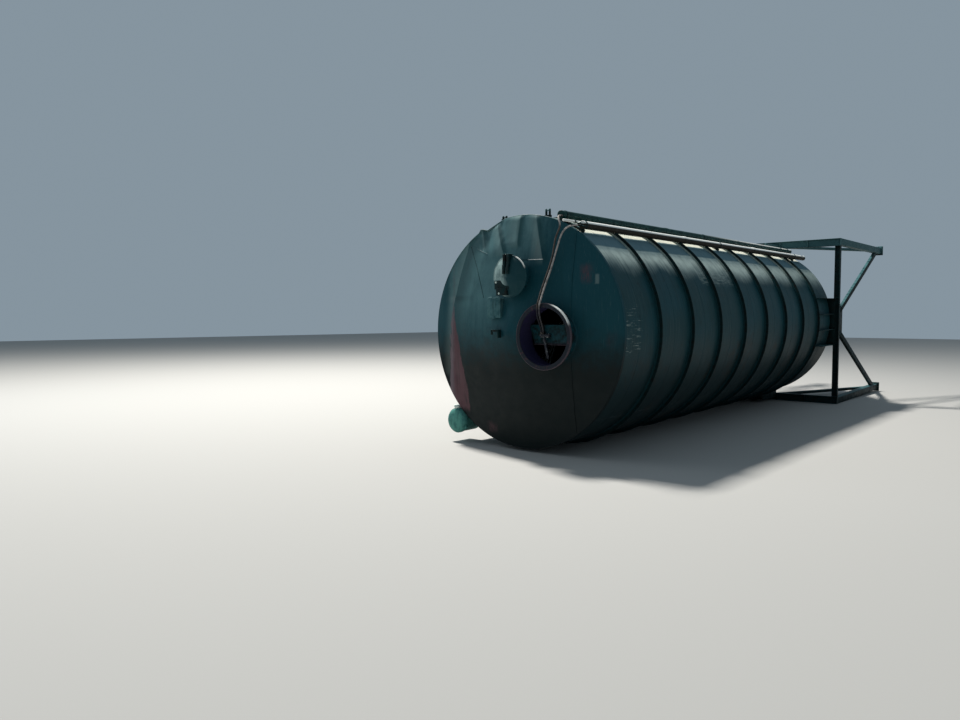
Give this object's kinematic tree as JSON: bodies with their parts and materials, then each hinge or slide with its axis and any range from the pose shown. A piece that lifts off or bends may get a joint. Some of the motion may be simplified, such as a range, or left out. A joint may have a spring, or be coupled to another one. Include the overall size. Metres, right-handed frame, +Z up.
{
  "type": "cement silo lying on its side",
  "caption": "Cylindrical steel silo lying on its side, with hoops round the shell, a shallow roof with an open filter neck, a hopper end and a square leg frame.",
  "frame": {"origin": "on the ground, below the middle of the object's bounding box", "axes": "+Z up, +Y along the silo from the roof end to the feet, +X to the side that carries the pipes and faces the viewer"},
  "size_m": [3.63, 12.8938, 3.6406],
  "materials": {
    "shell_paint": "weathered dark green paint, chalky on top",
    "roof_paint": "weathered dark green paint with primer showing at the rim",
    "hoop_paint": "dark green paint, dirty at the weld",
    "frame_paint": "dark green paint, matt",
    "pipe_paint": "dark green paint with lichen and dirt",
    "chalky_paint": "faded pale green paint",
    "primer_steel": "faded paint over primer, satin",
    "galvanised_steel": "dull galvanised",
    "hose_rubber": "dusty grey hose"
  },
  "bodies": {
    "root": {"shell_upper_top": "shell_paint", "shell_lower_top": "shell_paint", "shell_upper_left": "shell_paint", "shell_lower_left": "shell_paint", "shell_upper_bottom": "shell_paint", "shell_lower_bottom": "shell_paint", "shell_upper_right": "shell_paint", "shell_lower_right": "shell_paint", "hoop_1": "hoop_paint", "hoop_2": "hoop_paint", "hoop_3": "hoop_paint", "hoop_4": "hoop_paint", "hoop_5": "hoop_paint", "hoop_6": "hoop_paint", "hoop_7": "hoop_paint", "hoop_8": "hoop_paint", "roof_left": "roof_paint", "roof_right": "roof_paint", "roof_rim": "roof_paint", "neck_tube": "shell_paint", "neck_lip": "primer_steel", "neck_cross_plate": "chalky_paint", "relief_valve_drum": "shell_paint", "relief_valve_lid": "chalky_paint", "roof_hatch_box": "chalky_paint", "roof_hook": "shell_paint", "lifting_lug_right": "shell_paint", "lifting_lug_left": "shell_paint", "hopper_cone": "shell_paint", "outlet_flange": "shell_paint", "ring_beam_top": "frame_paint", "ring_beam_bottom": "frame_paint", "ring_beam_right": "frame_paint", "ring_beam_left": "frame_paint", "leg_top_right": "frame_paint", "leg_top_left": "frame_paint", "leg_bottom_right": "frame_paint", "leg_bottom_left": "frame_paint", "brace_pair_right": "frame_paint", "console_right": "frame_paint", "brace_pair_top": "frame_paint", "console_top": "frame_paint", "brace_pair_left": "frame_paint", "console_left": "frame_paint", "brace_pair_bottom": "frame_paint", "console_bottom": "frame_paint", "top_pipe": "pipe_paint", "side_pipe": "pipe_paint", "conduit": "galvanised_steel", "fill_pipe": "pipe_paint", "pipe_saddle_1": "pipe_paint", "pipe_saddle_2": "pipe_paint", "pipe_saddle_3": "pipe_paint", "impact_pot": "chalky_paint", "pot_clamp": "galvanised_steel", "pot_stub": "shell_paint", "hose_left": "hose_rubber", "hose_right": "hose_rubber", "hose_coupling": "galvanised_steel"}
  },
  "joints": []
}
